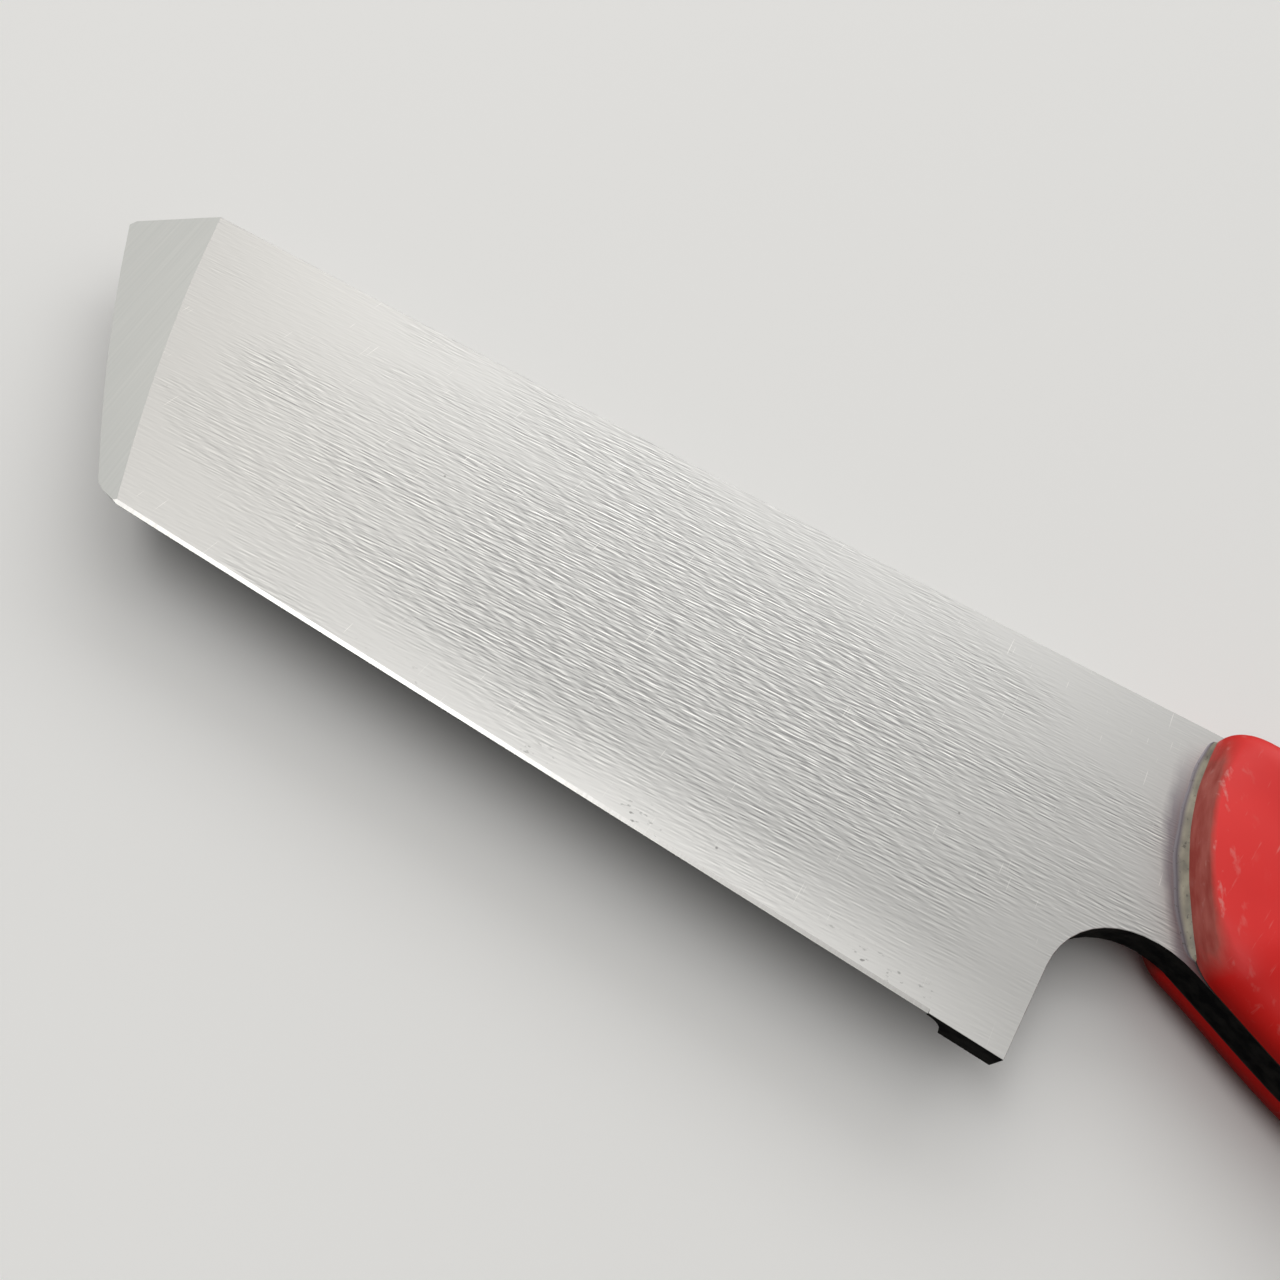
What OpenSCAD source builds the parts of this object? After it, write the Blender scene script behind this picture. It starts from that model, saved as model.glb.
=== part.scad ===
// Fixed-blade knife with a slanted chisel tip, a finger notch and a full tang between two scales.
// It lies on its right scale: +X runs to the butt, +Y to the spine and +Z out of the left face.
// The sizes are in millimetres. Lengths along the knife count from the heel, the rear end of the edge.

/* [Blade] */
// Depth of the blade at the heel, from spine to edge
blade_depth = 46; // [42:0.5:52]
// Length of the cutting edge, from heel to toe
edge_length = 93; // [70:1:120]
// Depth of the blade at the toe, from spine to edge
toe_depth = 39.1; // [34:0.1:42]
// Depth of the shallow hollow along the spine
spine_hollow = 0.4; // [0.1:0.1:0.8]
// Thickness of the steel bar
stock_t = 3.2; // [2.6:0.1:4.2]

/* [Tip] */
// How far the bevel line leans forward between toe and spine
tip_lean = 17.8; // [10:0.2:24]
// Bow of the bevel line over its length
tip_bow = 0.75; // [0.4:0.05:1.5]
// Angle between the tip bevel and the flat left face
tip_angle = 13.6; // [10:0.2:20]
// Angle at which the spine drops along the bevel
clip_angle = 30; // [15:1:40]
// Angle at which the outline turns up past the toe
toe_turn = 15; // [5:1:25]
// Flat that blunts the point
point_flat = 0.7; // [0.3:0.1:2]

/* [Grind] */
// Thickness behind the edge, before the edge bevels
edge_t = 0.45; // [0.3:0.05:0.7]
// Length of the unground heel block
heel_length = 7.3; // [5:0.1:12]
// Thickness of the heel block at its lower edge
heel_t = 2.4; // [1.8:0.1:2.6]
// Radius left by the grinding wheel where the grind runs out
runout_r = 2.2; // [2:0.1:5]
// Width of the fine edge bevel on the left face
fine_bevel_w = 0.4; // [0.2:0.05:0.6]
// Angle of the fine edge bevel on the left face
fine_bevel_angle = 20; // [12:1:24]
// Angle of the edge bevel on the right face
edge_bevel_angle = 15; // [12:1:25]
// Thickness left at the very edge
edge_land = 0.06; // [0.02:0.01:0.1]

/* [Finger notch] */
// Radius of the finger notch
notch_r = 10; // [8.5:0.1:11.5]
// Distance of the notch's centre behind the heel
notch_x = 11.9; // [11.6:0.1:14]
// Depth of the neck, from spine to the top of the notch
neck_depth = 28.1; // [24:0.1:31]

/* [Handle outline] */
// Distance of the left scale's front behind the heel, at its two corners
handle_front = 16.6; // [15.5:0.1:19]
// How far the front of a scale bows forward between its corners
front_bow = 2.6; // [1:0.1:4]
// How much further forward the right scale starts
right_lead = 2; // [0:0.1:3]
// Length over which each corner of a scale's front is rounded
corner_run = 2; // [1:0.1:3.5]
// Slope of the underside where it leaves the notch
underside_slope = 27; // [15:1:35]
// Length from the notch to the lowest point of the belly
belly_run = 24; // [20:0.5:32]
// Depth of the belly below the spine line
belly_depth = 38.5; // [34:0.5:42]
// Length from the belly to the waist
waist_run = 42; // [30:1:55]
// Depth of the waist below the spine line
waist_depth = 35; // [32:0.5:40]
// Length from the waist to the hook at the butt
hook_run = 38; // [30:1:50]
// Depth of the hook below the spine line
hook_depth = 41; // [36:0.5:44]
// Length of the rounded butt behind the hook
butt_length = 13; // [9:0.5:18]
// Distance behind the heel at which the top of the handle starts to drop
drop_start = 22; // [18:1:40]
// Drop of the top of the handle at the hook
butt_drop = 11; // [0:0.5:16]

/* [Scales] */
// Thickness of each scale
scale_t = 5.5; // [4.5:0.1:8]
// Height of the upright wall at the rim of a scale
rim_wall = 0.5; // [0.3:0.1:1.5]
// Width over which a scale rounds over at the top of the handle
round_top = 6; // [3:0.1:7]
// Width over which a scale rounds over at the underside
round_low = 8; // [3:0.1:10]
// Height of the steep wall at the front of a scale
front_wall_h = 3; // [2:0.1:4]
// How far that wall leans back over its height
front_wall_lean = 0.5; // [0.2:0.1:1.5]
// Length over which the cheek falls to the top of that wall
front_fall = 9; // [5:0.5:12]
// Distance from the spine over which that wall grows out of the rounded rim
front_fade_top = 11; // [8:0.5:13]
// Distance from the notch over which that wall grows out of the rounded rim
front_fade_low = 7.5; // [3:0.5:10]
// Thickness of the bond film between scale and tang
film_t = 0.15; // [0.1:0.05:0.3]
// Width of the seal bead at the spine
bead_w_top = 0.7; // [0.4:0.1:1.2]
// Width of the seal bead at the notch
bead_w_low = 1.8; // [1:0.1:2.4]
// Height of the seal bead, at most that of the upright wall and film it runs along
bead_h = 0.6; // [0.3:0.05:0.65]

/* [Rivets] */
// Distance of the front rivet behind the heel
rivet_front_x = 36; // [32:1:42]
// Distance between rivets
rivet_pitch = 37; // [30:1:42]
// Diameter of the rivet heads
rivet_head_d = 8; // [6.5:0.1:10]
// Thickness of the rivet heads
rivet_head_t = 1.2; // [0.8:0.1:1.8]
// Outside diameter of the rivet sleeves
sleeve_d = 5; // [4.4:0.1:6]
// Diameter of the rivet posts
post_d = 3.2; // [2.6:0.1:3.6]
// Gap all round a sleeve or a head in its hole
rivet_gap = 0.05; // [0.02:0.01:0.1]
// Gap all round a post in its sleeve
post_gap = 0.02; // [0.01:0.01:0.05]
// Gap left at the end of a post and of a sleeve
rivet_end_gap = 0.3; // [0.2:0.05:0.5]

/* [Hidden] */

// Heights: the right scale's cheek is the base, then film, bar, film and left scale
z_right = scale_t + film_t;
z_left = z_right + stock_t;
z_top = z_left + film_t + scale_t;

// How far a cutting shape reaches past what it cuts, and the size of a large one
over = 1;
reach = edge_length + blade_depth + 60;
deep = 20;
// Sides of a round shape, and of the very large cone that grinds the tip
round_fn = 96;
cone_fn = 720;

function mix(a, b, s) = a + (b - a) * s;
function clamp(v, low, high) = min(max(v, low), high);
function reversed(list) = [for (i = [len(list) - 1:-1:0]) list[i]];
// Cubic between two heights with given slopes, over a run of length dx
function cubic(s, y0, y1, slope0, slope1, dx) =
    (2 * s * s * s - 3 * s * s + 1) * y0 + (s * s * s - 2 * s * s + s) * dx * slope0
    + (3 * s * s - 2 * s * s * s) * y1 + (s * s * s - s * s) * dx * slope1;

// Finger notch: a circle with one line tangent to it from the heel and one leaving to the belly
heel = [0, -blade_depth];
notch_centre = [notch_x, -neck_depth - notch_r];
heel_to_notch = notch_centre - heel;
notch_wall_angle = atan2(heel_to_notch.y, heel_to_notch.x) + asin(notch_r / norm(heel_to_notch));
notch_in = notch_centre + notch_r * [-sin(notch_wall_angle), cos(notch_wall_angle)];
notch_out = notch_centre + notch_r * [sin(underside_slope), cos(underside_slope)];

// Underside and top of the handle, as depths below the spine line along the knife
belly_x = notch_out.x + belly_run;
waist_x = belly_x + waist_run;
hook_x = waist_x + hook_run;
butt_x = hook_x + butt_length;
function underside(x) =
    x < notch_out.x ? notch_centre.y + sqrt(notch_r * notch_r - pow(x - notch_x, 2))
    : x < belly_x ? cubic((x - notch_out.x) / belly_run, notch_out.y, -belly_depth,
        -tan(underside_slope), 0, belly_run)
    : x < waist_x ? cubic((x - belly_x) / waist_run, -belly_depth, -waist_depth, 0, 0, waist_run)
    : cubic((x - waist_x) / hook_run, -waist_depth, -hook_depth, 0, 0, hook_run);
function topside(x) = x < drop_start ? 0 : -butt_drop * pow((x - drop_start) / (hook_x - drop_start), 2);
function middle(x) = (topside(x) + underside(x)) / 2;

// The butt is half a rounded rectangle behind the hook, from the underside (turn -90) to the top (90)
butt_squareness = 0.75;
butt_tilt = -butt_drop / (hook_x - drop_start);
butt_half = (topside(hook_x) - underside(hook_x)) / 2;
function butt_point(turn) = let (back = butt_length * pow(cos(turn), butt_squareness))
    [hook_x + back, middle(hook_x) + butt_tilt * back
        + butt_half * sign(turn) * pow(abs(sin(turn)), butt_squareness)];

// Steps along each stretch of the handle's outline
front_steps = 20;
corner_steps = 4;
under_steps = 30;
butt_steps = 16;
top_steps = 16;
function under_points(x0) = [for (i = [1:under_steps])
    let (x = mix(x0, hook_x, pow(i / under_steps, 1.3))) [x, underside(x)]];
butt_points = [for (i = [1:butt_steps - 1]) butt_point(mix(-90, 90, i / butt_steps))];
function top_points(x1) = [for (i = [0:top_steps - 1])
    let (x = mix(hook_x, x1, i / top_steps)) [x, topside(x)]];
// Front of a scale from spine (s = 0) to notch (s = 1), with its sharp corners at distance x0
function front_point(x0, s) =
    [x0 - front_bow * 4 * s * (1 - s), mix(topside(x0), underside(x0), s)];
// Rounded corner from a to c, with its sharp corner at b
function corner(a, b, c) = [for (i = [0:corner_steps]) let (s = i / corner_steps)
    mix(mix(a, b, s), mix(b, c, s), s)];
function front_path(x0) = let (x1 = x0 + corner_run, cut = corner_run / (topside(x0) - underside(x0))) concat(
    corner([x1, topside(x1)], front_point(x0, 0), front_point(x0, cut)),
    [for (i = [1:front_steps - 1]) front_point(x0, mix(cut, 1 - cut, i / front_steps))],
    corner(front_point(x0, 1 - cut), front_point(x0, 1), [x1, underside(x1)]));
function scale_outline(x0) = let (x1 = x0 + corner_run)
    concat(front_path(x0), under_points(x1), butt_points, top_points(x1));
left_front = handle_front;
right_front = handle_front - right_lead;

// Tip: the bevel line is an arc from the spine to the toe, and the bevel is a cone through it
shoulder = [-edge_length - tip_lean, 0];
toe = [-edge_length, -toe_depth];
bevel_chord = norm(toe - shoulder);
bevel_dir = (toe - shoulder) / bevel_chord;
bevel_r = bevel_chord * bevel_chord / (8 * tip_bow) + tip_bow / 2;
bevel_centre = (shoulder + toe) / 2 + (bevel_r - tip_bow) * [-bevel_dir.y, bevel_dir.x];
bevel_spread = 1 / tan(tip_angle);

// Right face: one flat grind that leaves the bar's thickness at the heel's spine and edge_t along the edge
grind_down = (stock_t - edge_t) / blade_depth;
grind_along = (stock_t - edge_t - grind_down * toe_depth) / edge_length;
function thickness(p) = stock_t + grind_down * p.y + grind_along * p.x;

// Point of the tip: walk down the clipped spine until the bevel meets the ground right face
clip_dir = [-cos(clip_angle), -sin(clip_angle)];
function clip_walk(s, tries) = tries == 0 ? s : let (p = shoulder + s * clip_dir)
    clip_walk(s + bevel_r + thickness(p) * bevel_spread - norm(p - bevel_centre), tries - 1);
clip_length = clip_walk(0, 30);
point = shoulder + clip_length * clip_dir;
point_out = (point - bevel_centre) / norm(point - bevel_centre);
point_down = [-point_out.y, point_out.x];
edge_angle = atan2(blade_depth - toe_depth, edge_length);
toe_dir = [-cos(edge_angle + toe_turn), sin(edge_angle + toe_turn)];
outside = 6;

// Spine from the bevel line (s = 0) to the handle (s = 1), with its shallow hollow
spine_steps = 12;
function spine_point(s) = [mix(shoulder.x, handle_front, s), -spine_hollow * 4 * s * (1 - s)];

flat_low = point + point_flat * point_down;
flat_high = point - point_flat * clip_dir;
blade_outline = concat(
    [notch_centre, notch_in, heel, toe, toe + (clip_length + outside) * toe_dir],
    [point + outside * (point_down - [1, 0]), flat_low, flat_high],
    [for (i = [0:spine_steps]) spine_point(i / spine_steps)],
    [[drop_start, 0]],
    reversed(concat(under_points(notch_out.x), butt_points, top_points(drop_start))),
    [notch_out]);

// The origin is the middle of the knife's box, on the surface that the right scale lies on
tip_x = min(flat_low.x, flat_high.x);
origin = [(tip_x + butt_x) / 2, -max(blade_depth, hook_depth) / 2, 0];

rivet_x = [for (i = [0:2]) rivet_front_x + i * rivet_pitch];
function rivet_at(i) = [rivet_x[i], middle(rivet_x[i]), 0];
module at_rivets() { for (i = [0:2]) translate(rivet_at(i)) children(); }

// Space taken by the bar's left bevel: everything inside the cone that passes through the bevel line
module tip_cone() {
    translate([bevel_centre.x, bevel_centre.y, z_right - over])
        cylinder(h = stock_t + 2 * over, r1 = bevel_r + (stock_t + over) * bevel_spread,
            r2 = bevel_r - over * bevel_spread, $fn = cone_fn);
}

// Steel ground off the right face, with the wheel's radius where it runs out before the heel
module right_grind() {
    tilt = atan(norm([grind_down, grind_along]));
    translate([0, 0, z_right]) rotate(a = tilt, v = [-grind_down, grind_along, 0]) {
        translate([-reach, -reach / 2, -deep]) cube([reach - heel_length, reach, deep]);
        translate([-heel_length, reach / 2, -runout_r]) rotate([90, 0, 0])
            cylinder(h = reach, r = runout_r, $fn = round_fn);
    }
}

// The heel block thins towards its lower edge, from just below the notch's top
module heel_relief() {
    relief_depth = neck_depth + 2;
    relief_angle = atan2(stock_t - heel_t, blade_depth - relief_depth);
    translate([notch_x - reach, -relief_depth, z_right]) rotate([-relief_angle, 0, 0])
        translate([0, -reach, -deep]) cube([reach, reach, deep]);
}

// Fine bevel on the left face and edge bevel on the right face, between toe and heel block
module edge_bevels() {
    fine_drop = fine_bevel_w * tan(fine_bevel_angle);
    translate([heel.x, heel.y, z_left - fine_drop]) rotate([0, 0, -edge_angle]) {
        rotate([fine_bevel_angle, 0, 0])
            translate([-reach - heel_length, -deep / 2, 0]) cube([reach, deep, deep]);
        translate([0, 0, -edge_land]) rotate([-edge_bevel_angle, 0, 0])
            translate([-reach - heel_length, -deep / 2, -deep]) cube([reach, deep, deep]);
    }
}

module blade() {
    color("gainsboro") translate(-origin) difference() {
        intersection() {
            translate([0, 0, z_right]) linear_extrude(stock_t) polygon(blade_outline);
            tip_cone();
        }
        translate([notch_centre.x, notch_centre.y, z_right - over])
            cylinder(h = stock_t + 2 * over, r = notch_r, $fn = round_fn);
        right_grind();
        heel_relief();
        edge_bevels();
        translate([0, 0, z_right - over]) at_rivets()
            cylinder(h = stock_t + 2 * over, d = sleeve_d + 2 * rivet_gap, $fn = round_fn);
    }
}

// One scale with its bonded face at height 0 and its cheek up. Each ring of the outline moves in towards
// the handle's middle line while it climbs, over a rounded rim or, at the front, up a wall with an edge.
module scale_solid(x0) {
    outline = scale_outline(x0);
    count = len(outline);
    wall_steps = 2;
    fall_steps = 4;
    ring_steps = wall_steps + fall_steps;
    core_x = x0 + butt_half;
    function round_at(p) = let (x = clamp(p.x, x0, hook_x))
        mix(round_low, round_top, clamp((p.y - underside(x)) / (topside(x) - underside(x)), 0, 1));
    // Point p moved in by d: by all of it across a straight stretch, and by a little less around a corner
    function inward(p, d) = let (x = clamp(p.x, core_x, hook_x), to = [x, middle(x)] - p)
        p + to / pow(pow(to.x, 4) + pow(to.y, 4), 1 / 4) * d;
    // Inset and height of ring k on the rounded rim, and on the front wall and the cheek behind it
    function rim_climb(k, p) = let (turn = 90 * k / ring_steps)
        [(1 - cos(turn)) * round_at(p), mix(rim_wall, scale_t, sin(turn))];
    function front_climb(k) = k <= wall_steps
        ? let (s = k / wall_steps) [front_wall_lean * s, mix(rim_wall, front_wall_h, s)]
        : let (s = (k - wall_steps) / fall_steps)
            [mix(front_wall_lean, front_fall, s), mix(scale_t, front_wall_h, pow(1 - s, 2))];
    function front_share(p) = p.x > x0 + corner_run ? 0
        : let (from_top = (topside(x0) - p.y) / front_fade_top,
            from_low = (p.y - underside(x0)) / front_fade_low,
            s = clamp(min(from_top, from_low), 0, 1)) s * s * (3 - 2 * s);
    function climb(k, p) = k < 0 ? [0, 0] : mix(rim_climb(k, p), front_climb(k), front_share(p));
    points = [for (k = [-1:ring_steps]) for (p = outline)
        let (r = climb(k, p), q = inward(p, r[0])) [q.x, q.y, r[1]]];
    sides = [for (k = [0:ring_steps]) for (i = [0:count - 1]) let (j = (i + 1) % count)
        for (f = [[k * count + i, (k + 1) * count + j, k * count + j],
                  [k * count + i, (k + 1) * count + i, (k + 1) * count + j]]) f];
    caps = [[for (i = [0:count - 1]) i],
        [for (i = [count - 1:-1:0]) (ring_steps + 1) * count + i]];
    polyhedron(points, concat(sides, caps));
}

// A scale with its rivet holes, in the same place as scale_solid
module drilled_scale(x0) {
    difference() {
        scale_solid(x0);
        translate([0, 0, -over]) at_rivets()
            cylinder(h = scale_t + 2 * over, d = sleeve_d + 2 * rivet_gap, $fn = round_fn);
        translate([0, 0, scale_t - rivet_head_t]) at_rivets()
            cylinder(h = rivet_head_t + over, d = rivet_head_d + 2 * rivet_gap, $fn = round_fn);
    }
}

module left_scale() {
    color("crimson") translate(-origin) translate([0, 0, z_left + film_t]) drilled_scale(left_front);
}

module right_scale() {
    color("crimson") translate(-origin) translate([0, 0, scale_t])
        mirror([0, 0, 1]) drilled_scale(right_front);
}

// Bond film under a scale, with its lower face at height z
module bond_film(x0, z) {
    translate([0, 0, z]) difference() {
        linear_extrude(film_t) polygon(scale_outline(x0));
        translate([0, 0, -over]) at_rivets()
            cylinder(h = film_t + 2 * over, d = sleeve_d + 2 * rivet_gap, $fn = round_fn);
    }
}

module left_bond_film() { color("darkkhaki") translate(-origin) bond_film(left_front, z_left); }

module right_bond_film() { color("darkkhaki") translate(-origin) bond_film(right_front, scale_t); }

// Seal bead along the front of a scale, standing on height 0: a rounded section that widens to the notch
module seal_bead(x0) {
    height = min(bead_h, film_t + rim_wall);
    bulge_steps = 4;
    section = concat([[0, 0]], [for (k = [0:bulge_steps]) let (turn = 90 * k / bulge_steps)
        [cos(turn), sin(turn)]]);
    side = len(section);
    front = front_path(x0);
    path = [for (i = [corner_steps - 1:len(front) - corner_steps]) front[i]];
    stops = len(path);
    points = [for (p = path) let (width = mix(bead_w_top, bead_w_low, p.y / underside(x0)))
        for (q = section) [p.x - q.x * width, p.y, q.y * height]];
    walls = [for (i = [0:stops - 2]) for (k = [0:side - 1]) let (m = (k + 1) % side)
        for (f = [[i * side + k, i * side + m, (i + 1) * side + m],
                  [i * side + k, (i + 1) * side + m, (i + 1) * side + k]]) f];
    ends = [[for (k = [side - 1:-1:0]) k], [for (k = [0:side - 1]) (stops - 1) * side + k]];
    polyhedron(points, concat(walls, ends));
}

module left_seal_bead() {
    color("darkseagreen") translate(-origin) translate([0, 0, z_left]) seal_bead(left_front);
}

module right_seal_bead() {
    color("darkseagreen") translate(-origin) translate([0, 0, z_right])
        mirror([0, 0, 1]) seal_bead(right_front);
}

// Solid half of a rivet: its head lies flush in the left scale and its post reaches down the sleeve
module rivet_post(i) {
    post_low = rivet_head_t + rivet_end_gap;
    color("lightsteelblue") translate(rivet_at(i) - origin) {
        translate([0, 0, z_top - rivet_head_t]) cylinder(h = rivet_head_t, d = rivet_head_d, $fn = round_fn);
        translate([0, 0, post_low]) cylinder(h = z_top - rivet_head_t - post_low, d = post_d, $fn = round_fn);
    }
}

// Hollow half of a rivet: its head lies flush in the right scale, its sleeve stops short of the post's head
module rivet_sleeve(i) {
    sleeve_high = z_top - rivet_head_t - rivet_end_gap;
    color("lightsteelblue") translate(rivet_at(i) - origin) difference() {
        union() {
            cylinder(h = rivet_head_t, d = rivet_head_d, $fn = round_fn);
            cylinder(h = sleeve_high, d = sleeve_d, $fn = round_fn);
        }
        translate([0, 0, rivet_head_t]) cylinder(h = sleeve_high, d = post_d + 2 * post_gap, $fn = round_fn);
    }
}

blade();
left_scale();
right_scale();
left_bond_film();
right_bond_film();
left_seal_bead();
right_seal_bead();
rivet_post(0);  // front_rivet_post
rivet_sleeve(0);  // front_rivet_sleeve
rivet_post(1);  // middle_rivet_post
rivet_sleeve(1);  // middle_rivet_sleeve
rivet_post(2);  // rear_rivet_post
rivet_sleeve(2);  // rear_rivet_sleeve
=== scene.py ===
# %% [markdown]
# A full-tang knife lies on its right scale. The imported model is its frame: every piece made here takes
# its place from that model, in metres, with +X to the butt, +Y to the spine and +Z out of the left face.
# The frame is loaded first, and the boxes of its pieces give the places and heights used here.

# %% Load the frame
import math

import bmesh
import bpy
import numpy as np
from mathutils import Matrix, Vector


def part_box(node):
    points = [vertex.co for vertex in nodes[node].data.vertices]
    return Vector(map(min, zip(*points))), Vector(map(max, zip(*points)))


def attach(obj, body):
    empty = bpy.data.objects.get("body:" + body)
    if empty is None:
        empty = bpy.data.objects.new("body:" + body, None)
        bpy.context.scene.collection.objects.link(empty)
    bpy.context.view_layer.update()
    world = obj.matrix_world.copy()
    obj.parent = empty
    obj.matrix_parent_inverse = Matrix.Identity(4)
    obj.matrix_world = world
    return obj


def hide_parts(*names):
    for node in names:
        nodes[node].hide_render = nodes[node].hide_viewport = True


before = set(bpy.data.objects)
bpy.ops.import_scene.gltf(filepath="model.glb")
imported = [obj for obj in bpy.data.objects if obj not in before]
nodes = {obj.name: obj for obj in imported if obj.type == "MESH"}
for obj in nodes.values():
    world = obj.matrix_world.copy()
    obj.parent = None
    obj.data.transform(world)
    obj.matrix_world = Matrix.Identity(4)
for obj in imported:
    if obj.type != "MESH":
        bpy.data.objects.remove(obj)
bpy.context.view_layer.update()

MM = 0.001

# %% [markdown]
# The handle's outline follows the same few sizes as the solids. They are written once, in millimetres,
# and counted from the heel, where the cutting edge ends, and from the spine. The heel's place in the
# frame comes from the blade's box, because the butt is its furthest point. Heights come from the boxes of
# the solids.

# %% Sizes of the notch and the handle, in millimetres
notch_r, notch_x, neck_depth = 10.0, 11.9, 28.1
blade_depth, edge_length, toe_depth, heel_length = 46.0, 93.0, 39.1, 7.3
tip_lean = 17.8
underside_slope = math.radians(27)
belly_run, belly_depth = 24.0, 38.5
waist_run, waist_depth = 42.0, 35.0
hook_run, hook_depth = 38.0, 41.0
butt_length, butt_squareness = 13.0, 0.75
drop_start, butt_drop = 22.0, 11.0
handle_front, front_bow, right_lead, corner_run = 16.6, 2.6, 2.0, 2.0
rim_wall, round_top, round_low = 0.5, 6.0, 8.0

notch_y = -neck_depth - notch_r
notch_out_x = notch_x + notch_r * math.sin(underside_slope)
notch_out_y = notch_y + notch_r * math.cos(underside_slope)
belly_x = notch_out_x + belly_run
waist_x = belly_x + waist_run
hook_x = waist_x + hook_run

blade_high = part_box("blade")[1]
heel_shift = np.array([blade_high.x / MM - hook_x - butt_length, blade_high.y / MM])
z_base, z_right = (corner.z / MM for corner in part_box("right_bond_film"))
z_left, z_scale = (corner.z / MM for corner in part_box("left_bond_film"))
z_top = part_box("left_scale")[1].z / MM
scale_t = z_top - z_scale
film_t = z_scale - z_left
print("heel at", np.round(heel_shift, 2), "mm, scales", round(scale_t, 2), "mm thick")

# %% [markdown]
# Four helpers put numbers into Blender: they place points, join them by faces, close a mesh and add a
# piece. A surface is a grid of points, row after row, and its faces are the squares between neighbouring
# points, so all of them come from one index table with no loop. Points at a pole fall together and are
# merged, then every face is turned outwards.

# %% Helpers that turn grids of points into objects
# Points this close, in metres, are one point, and an edge this close to a height lies at it.
same_point, same_height = 1e-7, 1e-6


def place(points):
    """Millimetres from heel and spine to metres in the frame: shift x and y to the heel, then scale."""
    points = np.array(points, float)
    points[..., :2] += heel_shift
    return points * MM


def grid_faces(rows, columns, first=0):
    """Quads of a grid whose columns close on themselves: corners (r, c), (r, c+1), (r+1, c+1), (r+1, c)."""
    r, c = np.meshgrid(np.arange(rows - 1), np.arange(columns), indexing="ij")
    following = (c + 1) % columns
    quads = np.stack([r * columns + c, r * columns + following,
                      (r + 1) * columns + following, (r + 1) * columns + c], axis=-1)
    return quads.reshape(-1, 4) + first


def closed_mesh(name, points, faces, filled_heights=(), sharp_angle=35, **fields):
    """A mesh of these points and faces, with fields of one number per point for its material.
    Open rims at a filled height are closed by a flat face with holes."""
    mesh = bpy.data.meshes.new(name)
    mesh.from_pydata(points.tolist(), [], faces.tolist())
    for field, values in fields.items():
        mesh.attributes.new(field, "FLOAT", "POINT").data.foreach_set("value", values.astype(np.float32))
    work = bmesh.new()
    work.from_mesh(mesh)
    for height in filled_heights:
        rim = [e for e in work.edges
               if e.is_boundary and all(abs(v.co.z - height) < same_height for v in e.verts)]
        bmesh.ops.triangle_fill(work, use_beauty=True, edges=rim, normal=(0, 0, 1))
    bmesh.ops.remove_doubles(work, verts=work.verts, dist=same_point)
    bmesh.ops.recalc_face_normals(work, faces=work.faces)
    work.to_mesh(mesh)
    open_edges = sum(e.is_boundary for e in work.edges)
    work.free()
    mesh.shade_smooth()
    mesh.set_sharp_from_angle(angle=math.radians(sharp_angle))
    print(name, "has", len(mesh.vertices), "points and", open_edges, "open edges")
    return mesh


def add_piece(name, mesh, slot, stands_for, *materials):
    """An object at the origin that rides on the knife's one body and stands for CAD nodes."""
    piece = bpy.data.objects.new(name, mesh)
    bpy.context.scene.collection.objects.link(piece)
    for material in materials:
        mesh.materials.append(material)
    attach(piece, "root")
    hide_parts(*stands_for)
    return piece


# %% [markdown]
# Materials are built from nodes. One helper adds a node, sets what it is told and links its inputs, and
# one turns an sRGB hex colour into the linear numbers that shaders work in. Patterns read Object
# coordinates, which are metres on the knife. A Mapping node of the Texture kind turns a pattern and then
# divides by a size, so a noise of scale 1 gets grains of exactly that size.

# %% Helpers for materials
# A Mix node keeps separate sockets for numbers and for colours under one name, so they are called by place.
SHARE, NUMBER_A, NUMBER_B, COLOUR_A, COLOUR_B = 0, 2, 3, 6, 7
MIXED_NUMBER, MIXED = 0, 2


def linear(hex_colour):
    """sRGB hex to linear RGBA: c / 12.92 below 0.04045, else ((c + 0.055) / 1.055) ** 2.4."""
    srgb = np.array([int(hex_colour[i:i + 2], 16) for i in (1, 3, 5)]) / 255
    values = np.where(srgb <= 0.04045, srgb / 12.92, ((srgb + 0.055) / 1.055) ** 2.4)
    return (*values.tolist(), 1.0)


def fill(tree, node, inputs):
    """Give each of these inputs of a node its value, or a link from another node's output."""
    for key, value in inputs.items():
        if isinstance(value, bpy.types.NodeSocket):
            tree.links.new(value, node.inputs[key])
        else:
            node.inputs[key].default_value = value


def add(tree, kind, inputs=None, **settings):
    """One node: settings are its own values, and each input gets a value or a link from an output."""
    node = tree.nodes.new(kind)
    for name, value in settings.items():
        setattr(node, name, value)
    fill(tree, node, inputs or {})
    return node


def start_material(name):
    """A new material: its node tree, its Principled shader and its Object coordinates."""
    material = bpy.data.materials.new(name)
    material.use_nodes = True
    tree = material.node_tree
    shader = tree.nodes["Principled BSDF"]
    return material, tree, shader, add(tree, "ShaderNodeTexCoord").outputs["Object"]


def sized(tree, place_on, size_mm, turn_deg=0.0, shift_mm=0.0):
    """Coordinates that count cells of these sizes in millimetres along x, y and z, turned about +Z."""
    mapping = add(tree, "ShaderNodeMapping", {
        "Vector": place_on, "Location": (shift_mm * MM, shift_mm * MM, 0),
        "Rotation": (0, 0, math.radians(turn_deg)), "Scale": tuple(size * MM for size in size_mm)},
        vector_type="TEXTURE")
    return mapping.outputs[0]


def grains(tree, place_on, size_mm, turn_deg=0.0, detail=2.0):
    """Noise with grains of these sizes, from 0 to 1."""
    cells = sized(tree, place_on, size_mm, turn_deg)
    return add(tree, "ShaderNodeTexNoise", {"Vector": cells, "Scale": 1.0, "Detail": detail}).outputs["Fac"]


print("a mid grey of #808080 is", round(linear("#808080")[0], 3), "in linear light")

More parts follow.
